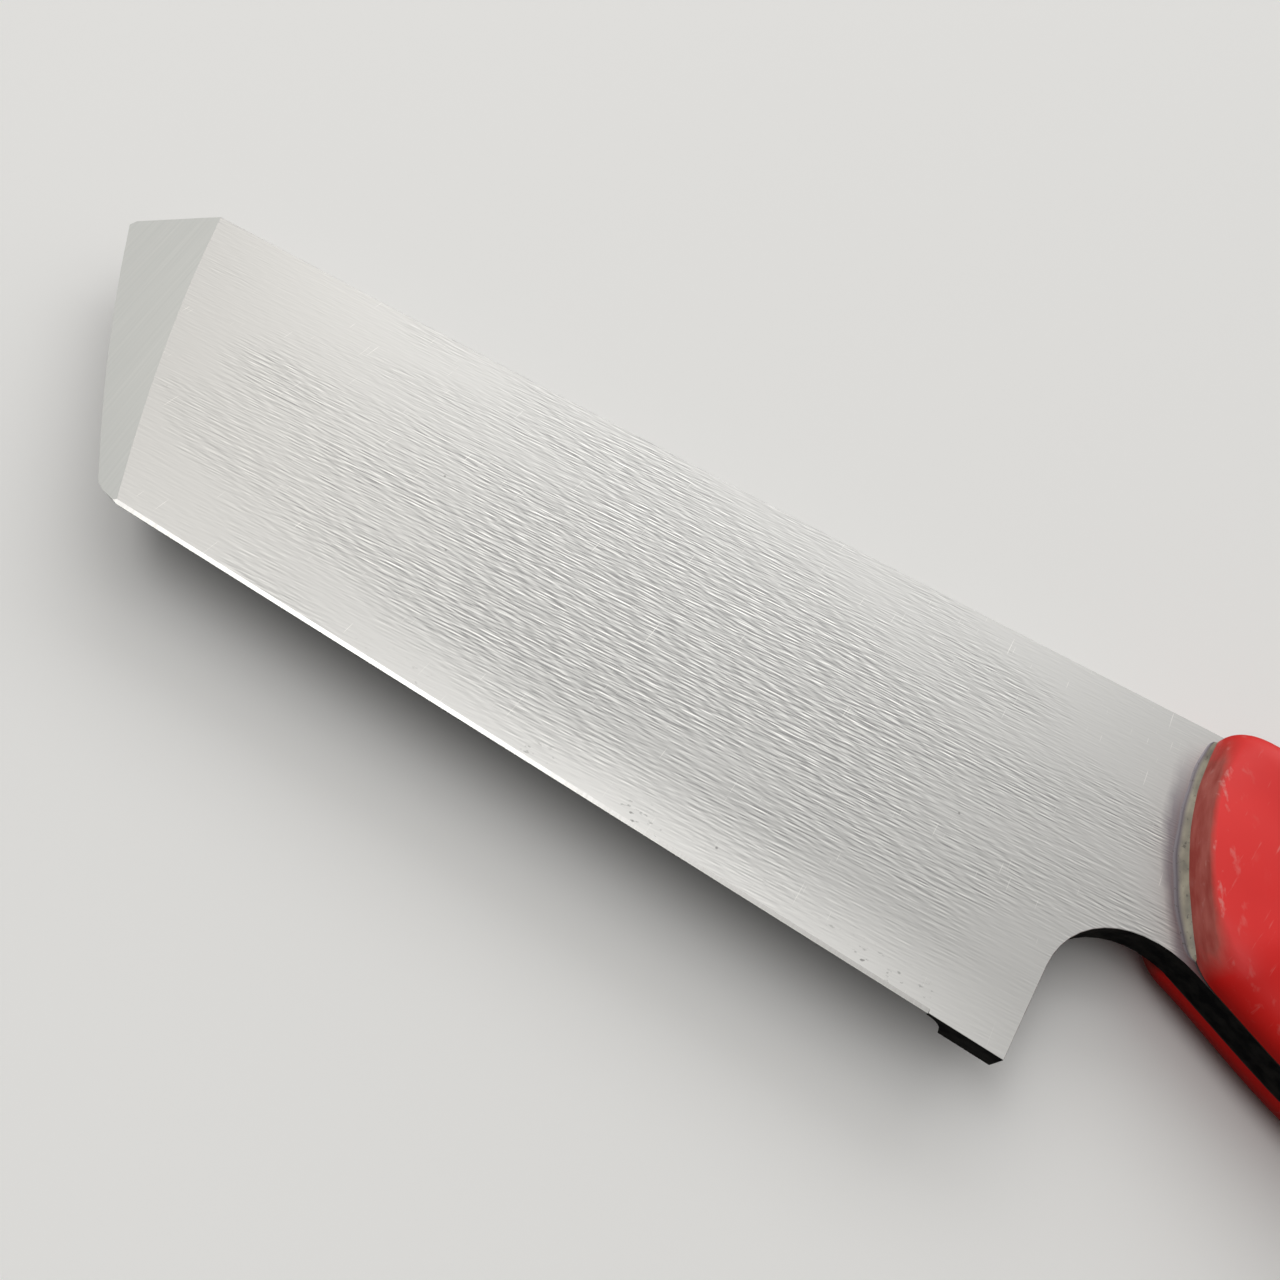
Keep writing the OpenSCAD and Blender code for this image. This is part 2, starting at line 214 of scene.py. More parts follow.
# %% [markdown]
# The flats are tool steel, ground along the blade on a belt and left satin. A belt leaves fine lines a
# few millimetres long, nearly in line with the blade. A picture of them would repeat, and stretched noise
# runs together in waves. Here the steel is cut into narrow lines, and each has a noise of its own along
# it. Each line less its neighbour puts a light line beside a dark one, so none of them join into patches.
# Real lines are a few hundredths of a millimetre wide; here they are 0.14 and 0.18 mm, so that they show.

# %% Belt lines
grain_turn, coarse_turn = 1.5, 1.9
fine_line, coarse_line = (2.2, 0.14, 1.0), (3.0, 0.18, 1.0)
noise_step = 7.31


def lines_apart(tree, place_on, size_mm, turn_deg, shift_mm):
    """Lines side by side as wide as a cell: line n shows the noise along the row n * noise_step."""
    cells = add(tree, "ShaderNodeSeparateXYZ", {0: sized(tree, place_on, size_mm, turn_deg, shift_mm)})
    line = add(tree, "ShaderNodeMath", {0: cells.outputs["Y"]}, operation="FLOOR")
    apart = add(tree, "ShaderNodeMath", {0: line.outputs[0], 1: noise_step}, operation="MULTIPLY")
    along = add(tree, "ShaderNodeCombineXYZ", {0: cells.outputs["X"], 1: apart.outputs[0]})
    return add(tree, "ShaderNodeTexNoise", {"Vector": along.outputs[0], "Scale": 1.0, "Detail": 1.0},
               noise_dimensions="2D").outputs["Fac"]


def brushed(tree, place_on, size_mm, turn_deg):
    """Each line less its neighbour, which is the same pattern shifted by the width of a line."""
    lines = [lines_apart(tree, place_on, size_mm, turn_deg, shift) for shift in (0.0, size_mm[1])]
    return add(tree, "ShaderNodeMath", {0: lines[0], 1: lines[1]}, operation="SUBTRACT").outputs[0]


satin, tree, shader, where = start_material("belt_ground_satin_steel")
fine = brushed(tree, where, fine_line, grain_turn)
coarse = brushed(tree, where, coarse_line, coarse_turn)
both = add(tree, "ShaderNodeMath", {0: fine, 1: coarse}, operation="ADD")
print("belt lines are", fine_line[1], "and", coarse_line[1], "mm wide")

# %% [markdown]
# The belt bore hardest on the middle of the blade. There the lines are deepest, and towards the spine, the
# tip and the heel they fade. The middle is also painted a little darker, as painted shade across the middle
# of the face. A round gradient, stretched to an oval, gives the middle, and a slow noise makes its border
# patchy. The result sets how strongly the lines show and how much painted shade the middle gets.

# %% Where the belt bore hard, and the painted shade in the middle
oval_middle, oval_turn, oval_half = (-40.0, -22.0, 0.0), -4.0, (68.0, 28.0, 100.0)
patch_size, patch_share = (14.0, 6.0, 30.0), 0.7
middle_shade = 0.08
pressed = add(tree, "ShaderNodeMapping", {
    "Vector": where, "Location": tuple(place(oval_middle)), "Rotation": (0, 0, math.radians(oval_turn)),
    "Scale": tuple(half * MM for half in oval_half)}, vector_type="TEXTURE")
oval = add(tree, "ShaderNodeTexGradient", {"Vector": pressed.outputs[0]}, gradient_type="SPHERICAL")
patches = grains(tree, where, patch_size, grain_turn, detail=0.0)
patchy = add(tree, "ShaderNodeMath", {0: patches, 1: patch_share, 2: oval.outputs["Fac"]},
             operation="MULTIPLY_ADD")
strength = add(tree, "ShaderNodeMapRange", {"Value": patchy.outputs[0], "From Min": 0.45, "From Max": 1.05,
                                            "To Min": 0.08, "To Max": 1.0})
# Lowering the lines where they are strongest paints a little shade into the middle of the blade.
shaded_lines = add(tree, "ShaderNodeMath", {0: both.outputs[0], 1: middle_shade}, operation="SUBTRACT")
streak_and_shade = add(tree, "ShaderNodeMath", {0: shaded_lines.outputs[0], 1: strength.outputs[0]}, operation="MULTIPLY")
bright = add(tree, "ShaderNodeMapRange", {"Value": streak_and_shade.outputs[0], "From Min": -0.35, "From Max": 0.5})
ground = add(tree, "ShaderNodeMix", {
    SHARE: bright.outputs[0], COLOUR_A: linear("#969695"), COLOUR_B: linear("#F6F5F2")}, data_type="RGBA")
print("the lines are strongest", oval_middle[0], "mm from the heel")

# %% [markdown]
# Use has left its marks: short scratches across the lines, tiny pits, a paler strip along the heel's half
# of the edge, where the steel is rubbed most, and a few dark nicks in it. The edge is a straight line, so
# the height above it is Y plus a share of X, and two fades along X end the strip. Nicks are the peaks of
# a fine noise, kept only where a coarser noise peaks too, so that they come in groups.

# %% Wear on the flats
scratch_size, scratch_turn, pit_spacing = (5.0, 0.14, 1.0), 82.0, 7.0
strip_start, strip_full, strip_fade, strip_end = -75.0, -40.0, -14.0, 6.0
strip_width, strip_paling, strip_least = 7.0, 0.55, 0.2
nick_size, knock_size = (0.8, 0.45, 1.0), (6.0, 6.0, 6.0)
nick_full, nick_reach = 1.2, 3.5


def from_heel(mm):
    """Millimetres along the blade from the heel to metres in the frame."""
    return (heel_shift[0] + mm) * MM


scratch = add(tree, "ShaderNodeMapRange", {"Value": grains(tree, where, scratch_size, scratch_turn),
                                           "From Min": 0.72, "From Max": 0.76, "To Max": 0.6})
scratched = add(tree, "ShaderNodeMix", {
    SHARE: scratch.outputs[0], COLOUR_A: ground.outputs[MIXED], COLOUR_B: linear("#F4F2EE")},
    data_type="RGBA")
pits = add(tree, "ShaderNodeTexVoronoi", {"Vector": where, "Scale": 1 / (pit_spacing * MM)})
pitted = add(tree, "ShaderNodeMapRange", {"Value": pits.outputs["Distance"], "From Min": 0.012,
                                          "From Max": 0.024, "To Min": 0.6, "To Max": 0.0})

axis = add(tree, "ShaderNodeSeparateXYZ", {0: where})
edge_rise = (blade_depth - toe_depth) / edge_length
edge_level = (heel_shift[1] - blade_depth + edge_rise * heel_shift[0]) * MM
level = add(tree, "ShaderNodeMath", {0: axis.outputs["X"], 1: edge_rise, 2: axis.outputs["Y"]},
            operation="MULTIPLY_ADD")
rising = add(tree, "ShaderNodeMapRange", {"Value": axis.outputs["X"], "From Min": from_heel(strip_start),
                                          "From Max": from_heel(strip_full)})
falling = add(tree, "ShaderNodeMapRange", {"Value": axis.outputs["X"], "From Min": from_heel(strip_fade),
                                           "From Max": from_heel(strip_end), "To Min": 1.0,
                                           "To Max": strip_least})
handled = add(tree, "ShaderNodeMath", {0: rising.outputs[0], 1: falling.outputs[0]}, operation="MINIMUM")
near_edge = add(tree, "ShaderNodeMapRange", {"Value": level.outputs[0], "From Min": edge_level,
                                             "From Max": edge_level + strip_width * MM,
                                             "To Min": strip_paling, "To Max": 0.0})
by_edge = add(tree, "ShaderNodeMath", {0: near_edge.outputs[0], 1: handled.outputs[0]}, operation="MULTIPLY")
paler = add(tree, "ShaderNodeMix", {
    SHARE: by_edge.outputs[0], COLOUR_A: scratched.outputs[MIXED], COLOUR_B: linear("#F8F7F4")},
    data_type="RGBA")

nicks = add(tree, "ShaderNodeMapRange", {"Value": grains(tree, where, nick_size, detail=3.0),
                                         "From Min": 0.62, "From Max": 0.72, "To Max": 0.7})
knocks = add(tree, "ShaderNodeMapRange", {"Value": grains(tree, where, knock_size, detail=0.0),
                                          "From Min": 0.6, "From Max": 0.66})
low = add(tree, "ShaderNodeMapRange", {"Value": level.outputs[0], "From Min": edge_level + nick_full * MM,
                                       "From Max": edge_level + nick_reach * MM,
                                       "To Min": 1.0, "To Max": 0.0})
nicked = nicks
for limit in (knocks, low, rising):
    nicked = add(tree, "ShaderNodeMath", {0: nicked.outputs[0], 1: limit.outputs[0]}, operation="MULTIPLY")
spots = add(tree, "ShaderNodeMath", {0: nicked.outputs[0], 1: pitted.outputs[0]}, operation="MAXIMUM")
steel = add(tree, "ShaderNodeMix", {
    SHARE: spots.outputs[0], COLOUR_A: paler.outputs[MIXED], COLOUR_B: linear("#6B6A68")}, data_type="RGBA")
print("the edge rises", round(edge_rise, 3), "mm in each millimetre to the toe")

# %% [markdown]
# Beside the handle a purple-grey band is painted on the steel: painted shade and reflection of the handle,
# with a thin wiped smear of glue. Its border follows the bowed front of the scale: with s from 0 at the spine
# to 1 at the notch, the front lies 4 s (1 - s) times the bow ahead of its corners. A noise makes the border
# ragged, and the band grows towards the notch. It is the last layer of the satin steel's colour.
# Bright lines are smoother than dark ones, and the lines give a slight bump.

# %% Painted shade and glue smear beside the handle, and the finished satin steel
shade_smear_start, shade_smear_full, shade_smear_rag, shade_smear_share = 2.3, 1.2, 1.2, 0.75
spine_y, front_x = heel_shift[1] * MM, from_heel(handle_front)
down = add(tree, "ShaderNodeMapRange", {"Value": axis.outputs["Y"], "From Min": spine_y,
                                        "From Max": spine_y - neck_depth * MM})
up = add(tree, "ShaderNodeMath", {0: down.outputs[0], 1: -1.0, 2: 1.0}, operation="MULTIPLY_ADD")
bowed = add(tree, "ShaderNodeMath", {0: down.outputs[0], 1: up.outputs[0]}, operation="MULTIPLY")
from_front = add(tree, "ShaderNodeMath", {0: bowed.outputs[0], 1: 4 * front_bow * MM, 2: axis.outputs["X"]},
                 operation="MULTIPLY_ADD")
ragged = add(tree, "ShaderNodeMath", {0: grains(tree, where, (1.5, 2.5, 2.0), detail=3.0), 1: shade_smear_rag * MM,
                                      2: from_front.outputs[0]}, operation="MULTIPLY_ADD")
shade_smear_band = add(tree, "ShaderNodeMapRange", {"Value": ragged.outputs[0], "From Min": front_x - shade_smear_start * MM,
                                         "From Max": front_x - shade_smear_full * MM, "To Max": shade_smear_share})
lower = add(tree, "ShaderNodeMapRange", {"Value": down.outputs[0], "From Min": 0.1, "From Max": 0.45})
lower_shade_smear = add(tree, "ShaderNodeMath", {0: shade_smear_band.outputs[0], 1: lower.outputs[0]}, operation="MULTIPLY")
# The purple-grey band is painted shade and reflection of the handle, with a thin glue smear.
colour = add(tree, "ShaderNodeMix", {
    SHARE: lower_shade_smear.outputs[0], COLOUR_A: steel.outputs[MIXED], COLOUR_B: linear("#868289")}, data_type="RGBA")
rough = add(tree, "ShaderNodeMapRange", {"Value": bright.outputs[0], "To Min": 0.46, "To Max": 0.36})
bump = add(tree, "ShaderNodeBump", {"Height": streak_and_shade.outputs[0], "Strength": 0.3, "Distance": 0.01 * MM})
fill(tree, shader, {"Metallic": 1.0, "Base Color": colour.outputs[MIXED], "Roughness": rough.outputs[0],
                    "Normal": bump.outputs[0]})
print("made", satin.name, "with", len(tree.nodes), "nodes")

# %% [markdown]
# The tip bevel was ground last, across the blade, on a finer belt. It is smoother and a little cooler in
# colour than the flats, with long faint lines that cross it, so noise stretched along those lines is
# enough. The spine and the short front of the toe were ground on the same belt and share its finish.

# %% Finer steel for the tip bevel
tip_grind_turn = 98.0
tip_steel, tree, shader, where = start_material("fine_ground_tip_steel")
lines = grains(tree, where, (26.0, 0.3, 8.0), tip_grind_turn, detail=3.0)
haze = grains(tree, where, (9.0, 5.0, 8.0), tip_grind_turn)
faint = add(tree, "ShaderNodeMix", {SHARE: haze, NUMBER_A: 0.5, NUMBER_B: lines})
bright = add(tree, "ShaderNodeMapRange", {"Value": faint.outputs[MIXED_NUMBER], "From Min": 0.3,
                                          "From Max": 0.7})
colour = add(tree, "ShaderNodeMix", {
    SHARE: bright.outputs[0], COLOUR_A: linear("#D2D4D1"), COLOUR_B: linear("#E0E1DE")}, data_type="RGBA")
rough = add(tree, "ShaderNodeMapRange", {"Value": lines, "To Min": 0.34, "To Max": 0.26})
bump = add(tree, "ShaderNodeBump", {"Height": lines, "Strength": 0.1, "Distance": 0.01 * MM})
fill(tree, shader, {"Metallic": 1.0, "Base Color": colour.outputs[MIXED], "Roughness": rough.outputs[0],
                    "Normal": bump.outputs[0]})
print("made", tip_steel.name)

# %% [markdown]
# The last fine bevel along the edge is honed on a stone. It is a little smoother than the flats, with
# faint lines across the edge, and near the toe it shows as one bright line.

# %% Honed steel for the edge bevels
honed, tree, shader, where = start_material("honed_edge_steel")
lines = grains(tree, where, (0.25, 3.0, 3.0))
colour = add(tree, "ShaderNodeMix", {
    SHARE: lines, COLOUR_A: linear("#DCDAD6"), COLOUR_B: linear("#F6F5F2")}, data_type="RGBA")
rough = add(tree, "ShaderNodeMapRange", {"Value": lines, "To Min": 0.42, "To Max": 0.32})
fill(tree, shader, {"Metallic": 1.0, "Base Color": colour.outputs[MIXED], "Roughness": rough.outputs[0]})
print("made", honed.name)

# %% [markdown]
# The walls of the notch, the heel's underside and the tang's rim are coloured almost black, dull and
# mottled, with a few lighter patches.

# %% Near-black steel for the cut walls
near_black_walls, tree, shader, where = start_material("near_black_wall_steel")
mottle = grains(tree, where, (1.6, 1.6, 1.2), detail=4.0)
lighter_patches = add(tree, "ShaderNodeMapRange", {"Value": mottle, "From Min": 0.4, "From Max": 0.75})
colour = add(tree, "ShaderNodeMix", {
    SHARE: lighter_patches.outputs[0], COLOUR_A: linear("#232324"), COLOUR_B: linear("#4A4845")}, data_type="RGBA")
rough = add(tree, "ShaderNodeMapRange", {"Value": lighter_patches.outputs[0], "To Min": 0.6, "To Max": 0.42})
bump = add(tree, "ShaderNodeBump", {"Height": mottle, "Strength": 0.3, "Distance": 0.03 * MM})
fill(tree, shader, {"Metallic": 1.0, "Base Color": colour.outputs[MIXED], "Roughness": rough.outputs[0],
                    "Normal": bump.outputs[0]})
print("made", near_black_walls.name)

# %% [markdown]
# The blade's shape is already exact in the solid, so a merged copy of its mesh is used and only its rims
# are eased. Each face gets its finish from the way it points: flats point up or down, the tip bevel leans
# to the tip, the edge bevels lean to the edge, and the walls point sideways. Working on whole arrays of
# normals and centres does this for all faces at once.

# %% Copy the blade and sort its faces by finish
merge_gap, flat_angle = 1e-6, math.radians(0.2)
upright, leans_far, leans_a_little, past_toe = 0.5, 0.2, 0.15, 0.5
work = bmesh.new()
work.from_mesh(nodes["blade"].data)
bmesh.ops.remove_doubles(work, verts=work.verts, dist=merge_gap)
bmesh.ops.dissolve_limit(work, angle_limit=flat_angle, verts=work.verts, edges=work.edges)
blade_mesh = bpy.data.meshes.new("knife_blade")
work.to_mesh(blade_mesh)
work.free()


def read(collection, field, width, kind=np.float32):
    """One field of a mesh's points, edges, loops or faces as an array of rows."""
    values = np.zeros(len(collection) * width, kind)
    collection.foreach_get(field, values)
    return values.reshape(-1, width) if width > 1 else values


normals = read(blade_mesh.polygons, "normal", 3)
centres = read(blade_mesh.polygons, "center", 3) / MM
centres[:, :2] -= heel_shift
wall = np.abs(normals[:, 2]) < upright
leans_to_tip = (normals[:, 2] > upright) & (normals[:, 0] < -leans_a_little)
leans_to_edge = ~wall & ~leans_to_tip & (normals[:, 1] < -leans_far)
spine = wall & (normals[:, 1] > upright) & (centres[:, 0] < handle_front)
in_front_of_toe = wall & (centres[:, 0] < -edge_length - past_toe)
on_flat, on_bevel, on_honed, on_wall = range(4)
finish = np.select([leans_to_tip, leans_to_edge, spine, in_front_of_toe, wall],
                   [on_bevel, on_honed, on_bevel, on_bevel, on_wall], on_flat)
blade_mesh.polygons.foreach_set("material_index", finish.astype(np.int32))
print("faces by finish, flats to walls:", np.bincount(finish, minlength=4).tolist())

# %% [markdown]
# No real rim is perfectly sharp. A Bevel modifier rounds the rims that the maker eased: most at the
# finger notch, less along the spine and the heel. A weight on each rim sets its share of the width. The
# cutting edge, the tip bevel and the seam under the scales get none, because they are ground crisp or
# hidden. Two faces meet at each rim, so the angle between them shows which edges are rims.

# %% Ease the rims of the blade
ease_width, ease_segments = 0.35, 3
rim_angle, crisp_angle = math.radians(50), math.radians(11)
notch_ease, spine_ease, heel_ease = 1.0, 0.6, 0.5
edge_margin, heel_margin, tip_margin, notch_margin, margin = 1.5, 3.0, 1.0, 0.3, 2.0

corners = read(blade_mesh.vertices, "co", 3) / MM
corners[:, :2] -= heel_shift
ends = corners[read(blade_mesh.edges, "vertices", 2, np.int32)]
rim_x, rim_y = ends.mean(axis=1)[:, :2].T
loop_edge = read(blade_mesh.loops, "edge_index", 1, np.int32)
loop_face = np.repeat(np.arange(len(normals)), read(blade_mesh.polygons, "loop_total", 1, np.int32))
beside = loop_face[np.argsort(loop_edge, kind="stable")].reshape(-1, 2)
meeting = (normals[beside[:, 0]] * normals[beside[:, 1]]).sum(axis=1)
is_rim = (meeting < math.cos(rim_angle)) & (rim_x < handle_front - right_lead - margin)
edge_y = -blade_depth - (blade_depth - toe_depth) * rim_x / edge_length
on_edge = (rim_y < edge_y + edge_margin) & (rim_x < -heel_length + heel_margin)
on_tip = rim_x < -edge_length - tip_lean + tip_margin + (rim_y / -toe_depth) * tip_lean
notch_gap = np.hypot(rim_x - notch_x, rim_y - notch_y) - notch_r
on_notch = (notch_gap < notch_margin) | (rim_x > notch_margin) & (rim_y < -neck_depth - margin)
on_spine = rim_y > -margin
ease = np.select([~is_rim | on_edge | on_tip, on_notch, on_spine], [0.0, notch_ease, spine_ease], heel_ease)
weights = blade_mesh.attributes.new("bevel_weight_edge", "FLOAT", "EDGE")
weights.data.foreach_set("value", ease.astype(np.float32))
blade_mesh.shade_smooth()
blade_mesh.set_sharp_from_angle(angle=crisp_angle)
blade = add_piece("knife_blade", blade_mesh, "blade_steel", ["blade"], satin, tip_steel, honed, near_black_walls)
easing = blade.modifiers.new("eased_rims", "BEVEL")
easing.limit_method = "WEIGHT"
easing.width = ease_width * MM
easing.segments = ease_segments
easing.harden_normals = True
easing.material = on_flat
print("eased", int((ease > 0).sum()), "of", len(ease), "edges")

# %% [markdown]
# Both scales share one outline, written as depths below the spine along the handle. Three cubics in a row
# give the underside its belly, waist and hook, a parabola lets the top droop, and a rounded half
# rectangle closes the butt. Everything is worked out as arrays of points.

# %% Underside, top and butt of a scale
def cubic(s, start, stop, slope, run):
    """Cubic from start to stop over s = 0 to 1 that leaves at a slope and arrives level, over a run."""
    return ((2 * s**3 - 3 * s**2 + 1) * start + (s**3 - 2 * s**2 + s) * run * slope
            + (3 * s**2 - 2 * s**3) * stop)


def underside(x):
    """Depth of the handle's underside: notch circle, then cubics to belly, waist and hook."""
    x = np.asarray(x, float)
    circle = notch_y + np.sqrt(np.maximum(notch_r**2 - (x - notch_x) ** 2, 0))
    slope_out = -math.tan(underside_slope)
    belly = cubic((x - notch_out_x) / belly_run, notch_out_y, -belly_depth, slope_out, belly_run)
    waist = cubic((x - belly_x) / waist_run, -belly_depth, -waist_depth, 0.0, waist_run)
    hook = cubic((x - waist_x) / hook_run, -waist_depth, -hook_depth, 0.0, hook_run)
    return np.select([x < notch_out_x, x < belly_x, x < waist_x], [circle, belly, waist], hook)


def topside(x):
    """Depth of the handle's top: level to drop_start, then a parabola that drops by butt_drop at the hook."""
    return -butt_drop * (np.maximum(np.asarray(x, float) - drop_start, 0) / (hook_x - drop_start)) ** 2


def middle(x):
    """Depth halfway between the handle's top and its underside."""
    return (topside(x) + underside(x)) / 2


def butt(turn):
    """Half a superellipse behind the hook, from the underside (turn -90 degrees) to the top (90)."""
    half = (topside(hook_x) - underside(hook_x)) / 2
    back = butt_length * np.cos(turn).clip(0) ** butt_squareness
    tilt = -butt_drop / (hook_x - drop_start)
    up = half * np.sign(turn) * np.abs(np.sin(turn)) ** butt_squareness
    return np.column_stack([hook_x + back, middle(hook_x) + tilt * back + up])


print("the handle is", round(float(topside(belly_x) - underside(belly_x)), 1), "mm deep at its belly")

# %% [markdown]
# The front of a scale bows forward, and its two corners are short curves drawn to the sharp corner.
# Front, underside, butt and top in a row close the outline.

# %% Front and whole outline of a scale
corner_steps, front_steps, under_steps, butt_steps, top_steps = 14, 70, 170, 70, 120


def steps(count):
    """Shares from 0 up to, but not including, 1."""
    return np.arange(count) / count


def front(x0, s):
    """Front of a scale from spine (s = 0) to notch (s = 1): a parabola that bows forward of its corners."""
    return np.column_stack([x0 - 4 * front_bow * s * (1 - s),
                            topside(x0) + (underside(x0) - topside(x0)) * s])


def corner(a, b, c, s):
    """Quadratic curve from a to c that is drawn to the sharp corner b."""
    s = s[:, None]
    return (1 - s) ** 2 * a + 2 * s * (1 - s) * b + s**2 * c


def front_path(x0):
    """Front of a scale with its two rounded corners, from the spine to the underside."""
    x1 = x0 + corner_run
    cut = corner_run / (topside(x0) - underside(x0))
    top_start, low_end = np.array([[x1, topside(x1)]]), np.array([[x1, underside(x1)]])
    ends = front(x0, np.array([0.0, cut, 1 - cut, 1.0]))
    return np.vstack([corner(top_start, ends[0], ends[1], steps(corner_steps)),
                      front(x0, cut + (1 - 2 * cut) * steps(front_steps)),
                      corner(ends[2], ends[3], low_end, steps(corner_steps))])


def scale_outline(x0):
    """Closed outline of a scale: front, underside, butt, top."""
    x1 = x0 + corner_run
    under_x = x1 + (hook_x - x1) * steps(under_steps)
    top_x = hook_x + (x1 - hook_x) * steps(top_steps)
    return np.vstack([front_path(x0), np.column_stack([under_x, underside(under_x)]),
                      butt(np.radians(-90 + 180 * steps(butt_steps))),
                      np.column_stack([top_x, topside(top_x)])])


print("outline of the left scale has", len(scale_outline(handle_front)), "points")

# %% [markdown]
# A scale is that outline carried up a profile: a short upright wall, then a quarter of an ellipse that
# rolls over to the flat cheek. At the front it is a steep wall with an edge, from which the cheek rises
# gently, and the two profiles fade into each other. This cell makes the front's profile, and the angles
# of the ellipse with as many rows.

# %% Profiles of a scale
front_wall_h, front_wall_lean, front_fall = 3.0, 0.5, 9.0
front_fade_top, front_fade_low, edge_ease = 11.0, 7.5, 0.4
wall_steps, edge_steps, fall_steps = 8, 6, 20


def front_climb():
    """Rows of (inset, height) up the front: a leaning wall, an eased edge, then a parabola to the cheek."""
    share = edge_ease / front_wall_h
    s = np.concatenate([np.linspace(0, 1 - share, wall_steps), [1.0]])
    wall = np.column_stack([front_wall_lean * s, rim_wall + (front_wall_h - rim_wall) * s])
    s = np.linspace(edge_ease / front_fall, 1, fall_steps)
    fall = np.column_stack([front_wall_lean + (front_fall - front_wall_lean) * s,
                            scale_t - (scale_t - front_wall_h) * (1 - s) ** 2])
    edge = corner(wall[-2], wall[-1], fall[0], steps(edge_steps))
    return np.vstack([wall[:-2], edge, fall]), len(wall) - 2, len(edge)


front_rows, wall_rows, edge_rows = front_climb()
roll = np.linspace(0, np.pi / 2, len(front_rows))
print("a scale's profile has", len(front_rows), "rows,", wall_rows, "of them on the front wall")

# %% [markdown]
# The rivets sit in stepped bores: a wide recess for the head and a narrow hole for the sleeve. A bore is
# a short profile turned about the rivet's axis, which one function does for bores and rivets alike.
# Cutting the bores with a Boolean would work too, but turned rings keep clean edges and cost few faces.

# %% Rivet places and bores
rivet_front_x, rivet_pitch = 36.0, 37.0
rivet_x = rivet_front_x + rivet_pitch * np.arange(3)
rivet_y = middle(rivet_x)
head_r, head_t, sleeve_r, rivet_gap = 4.0, 1.2, 2.5, 0.05
bore_sides = 64
bore = [[head_r + rivet_gap, scale_t], [head_r + rivet_gap, scale_t - head_t],
        [sleeve_r + rivet_gap, scale_t - head_t], [sleeve_r + rivet_gap, 0.0]]


def turned(profile, x, y, sides):
    """A profile of (radius, height) rows turned about an upright axis at (x, y)."""
    profile = np.asarray(profile, float)
    turn = 2 * np.pi * steps(sides)
    ring = np.stack([np.cos(turn), np.sin(turn)], axis=-1)
    flat = profile[:, :1, None] * ring[None] + np.array([x, y])
    heights = np.broadcast_to(profile[:, 1, None, None], (*flat.shape[:2], 1))
    return np.concatenate([flat, heights], axis=-1).reshape(-1, 3)


print("rivets stand", np.round(rivet_x, 1), "mm behind the heel")

# %% [markdown]
# Now the outline climbs the profiles. Each point moves in towards the handle's middle line as it rises,
# by as much as its own profile says. Points along the front take the front's profile and the others the
# rolled rim, with a soft fade between. Two more numbers on each point tell the material where the dull
# front wall is and where the lip is worn.

# %% Surface of a scale with its bores
core_norm = 4
dull_reach, least_wear = 0.6, 0.25


def front_share(outline, x0):
    """How much of the front's profile each outline point has: s * s * (3 - 2 s), s from 0 at both ends."""
    from_top = (topside(x0) - outline[:, 1]) / front_fade_top
    from_low = (outline[:, 1] - underside(x0)) / front_fade_low
    s = np.where(outline[:, 0] > x0 + corner_run, 0, np.minimum(from_top, from_low).clip(0, 1))
    return s * s * (3 - 2 * s)


def wear_fields(outline, x0, share):
    """Dullness, 1 on the front wall, and wear, a bell curve across the rows of the eased edge."""
    row = np.arange(-1, len(roll))
    below_edge = np.clip((wall_rows + edge_rows - row) / edge_rows, 0, 1)
    up_front = np.where(outline[:, 0] < x0 + corner_run, (topside(x0) - outline[:, 1]) / front_fade_top, 0)
    up_front = up_front.clip(0, dull_reach) / dull_reach
    up_front = up_front * np.clip((x0 + corner_run / 2 - outline[:, 0]) / corner_run, 0, 1)
    at_edge = np.exp(-((row - wall_rows - edge_rows / 2) / edge_rows).clip(-9, 9) ** 2)
    worn = at_edge[:, None] * (least_wear + (1 - least_wear) * share)
    bored = np.zeros(len(rivet_x) * len(bore) * bore_sides)
    return [np.concatenate([field.ravel(), bored]) for field in (below_edge[:, None] * up_front, worn)]


def scale_surface(x0):
    """Points and faces of a scale with its bonded face at height 0, and each point's dullness and wear.
    On the rim, row t is inset by width * (1 - cos t) and rises to wall + (thickness - wall) * sin t."""
    outline = scale_outline(x0)
    core_x = np.clip(outline[:, 0], x0 + (topside(hook_x) - underside(hook_x)) / 2, hook_x)
    to_core = np.column_stack([core_x, middle(core_x)]) - outline
    to_core /= (to_core**core_norm).sum(axis=1, keepdims=True) ** (1 / core_norm)
    along_x = np.clip(outline[:, 0], x0, hook_x)
    share_up = (outline[:, 1] - underside(along_x)) / (topside(along_x) - underside(along_x))
    width = round_low + (round_top - round_low) * share_up.clip(0, 1)
    rise = np.broadcast_to(rim_wall + (scale_t - rim_wall) * np.sin(roll)[:, None], (len(roll), len(outline)))
    rim = np.stack([(1 - np.cos(roll))[:, None] * width, rise], axis=-1)
    share = front_share(outline, x0)
    climb = rim + (front_rows[:, None] - rim) * share[None, :, None]
    climb = np.concatenate([np.zeros((1, len(outline), 2)), climb])
    rings = np.concatenate([outline + climb[..., :1] * to_core, climb[..., 1:]], axis=-1)
    points, faces = [rings.reshape(-1, 3)], [grid_faces(len(rings), len(outline))]
    for x, y in zip(rivet_x, rivet_y):
        faces.append(grid_faces(len(bore), bore_sides, sum(map(len, points))))
        points.append(turned(bore, x, y, bore_sides))
    return np.vstack(points), np.vstack(faces), *wear_fields(outline, x0, share)


print("each scale has", len(scale_surface(handle_front)[0]), "points")

# %% [markdown]
# The scales are red resin laminate, sanded to shape and waxed, then used for years. The red is even, with
# a slow cloud in it. At the front a dull brownish wall is left, where the polish never reached. The field
# of dullness says where, and a noise makes its border ragged.

